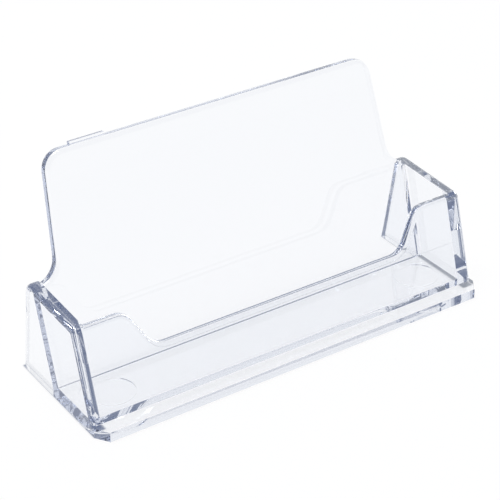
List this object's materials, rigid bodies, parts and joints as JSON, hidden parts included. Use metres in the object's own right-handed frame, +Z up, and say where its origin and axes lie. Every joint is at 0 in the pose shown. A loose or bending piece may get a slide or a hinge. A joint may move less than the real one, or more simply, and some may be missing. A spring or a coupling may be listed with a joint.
{
  "type": "business card holder stand",
  "caption": "Clear moulded desk stand that holds a leaning stack of business cards in a pocket between a tall back panel, a low notched front panel and end walls.",
  "frame": {"origin": "on the table surface, under the middle of the stand's bounding box", "axes": "+X along the card pocket, to the right as seen from the front; +Y from the front to the rear; +Z up"},
  "size_m": [0.0984, 0.0352, 0.0505],
  "materials": {
    "clear_polystyrene": "polished, clear, with a faint blue tint"
  },
  "bodies": {
    "root": {"base_plate": "clear_polystyrene", "front_panel": "clear_polystyrene", "back_panel": "clear_polystyrene", "left_end_wall": "clear_polystyrene", "right_end_wall": "clear_polystyrene"}
  },
  "joints": []
}
